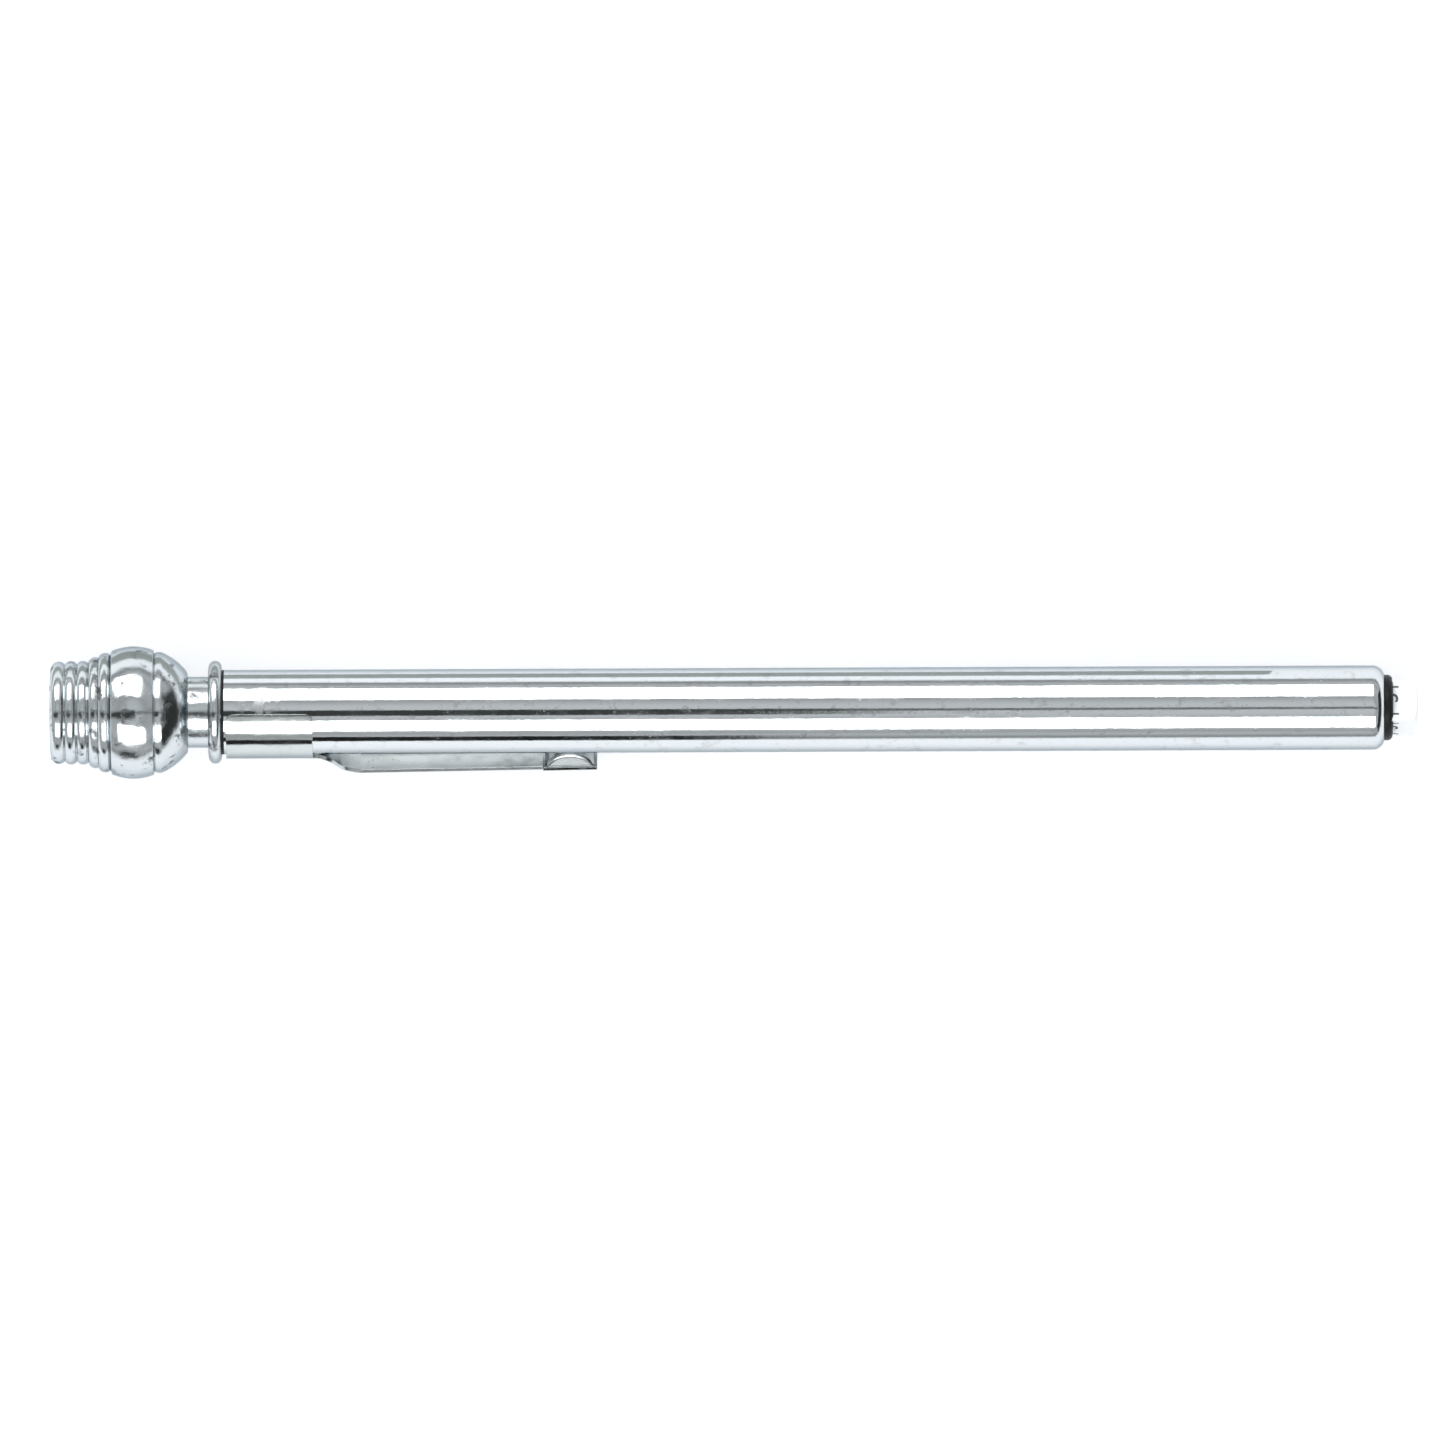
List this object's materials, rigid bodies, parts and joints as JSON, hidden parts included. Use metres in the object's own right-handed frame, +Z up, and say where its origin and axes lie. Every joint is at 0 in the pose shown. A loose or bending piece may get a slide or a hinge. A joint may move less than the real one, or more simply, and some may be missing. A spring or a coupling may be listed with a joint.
{
  "type": "tire pressure gauge",
  "caption": "Pencil-style tire pressure gauge: ribbed ball head with a valve socket, plated tube, sprung piston, sliding square indicator bar and pocket clip.",
  "frame": {"origin": "centre of the valve socket's mouth, on the gauge's axis", "axes": "+X along the gauge from the socket mouth to the indicator bar; +Z up as it lies on a table; the pocket clip is turned 45 degrees from straight down towards -Y"},
  "size_m": [0.1542, 0.015, 0.015],
  "materials": {
    "chrome_casting": "bright chrome plate on a turned zinc casting, fine handling scratches",
    "chrome_tube": "bright chrome plate on drawn brass tube, faint draw lines and pits",
    "clip_steel": "plated stamped spring steel, slightly duller than the tube",
    "seal_rubber": "matt moulded black rubber",
    "brass": "turned brass, fine tool marks",
    "spring_steel": "drawn spring wire and stamped washer",
    "black_plastic": "moulded black plastic, soft sheen",
    "white_nylon": "white moulded nylon with a printed black scale"
  },
  "bodies": {
    "barrel": {"nose_cap": "chrome_casting", "valve_seal": "seal_rubber", "deflator_disc": "brass", "deflator_pin": "brass", "head_body": "chrome_casting", "tube_gasket": "seal_rubber", "tube": "chrome_tube", "return_spring": "spring_steel", "spring_seat": "spring_steel", "bar_brake": "seal_rubber", "end_guide": "black_plastic"},
    "piston": {"piston_cup": "seal_rubber", "cup_washer": "brass", "cup_rivet": "brass", "plunger": "brass"},
    "indicator": {"indicator_bar": "white_nylon", "stop_collar": "brass"},
    "clip": {"pocket_clip": "clip_steel"}
  },
  "joints": [
    {"name": "plunger_slide", "type": "slide", "parent": "barrel", "child": "piston", "axis": [1, 0, 0], "range_m": [0, 0.05], "stiffness_N_per_m": 356, "springref_m": -0.0056, "deforming": ["return_spring"]},
    {"name": "indicator_slide", "type": "slide", "parent": "barrel", "child": "indicator", "axis": [1, 0, 0], "range_m": [0, 0.05]},
    {"name": "clip_turn", "type": "hinge", "parent": "barrel", "child": "clip", "pos_m": [0.0247, 0, 0], "axis": [1, 0, 0], "continuous": true}
  ],
  "couplings": [
    {"joint": "indicator_slide", "follows": "plunger_slide", "ratio": 1}
  ]
}
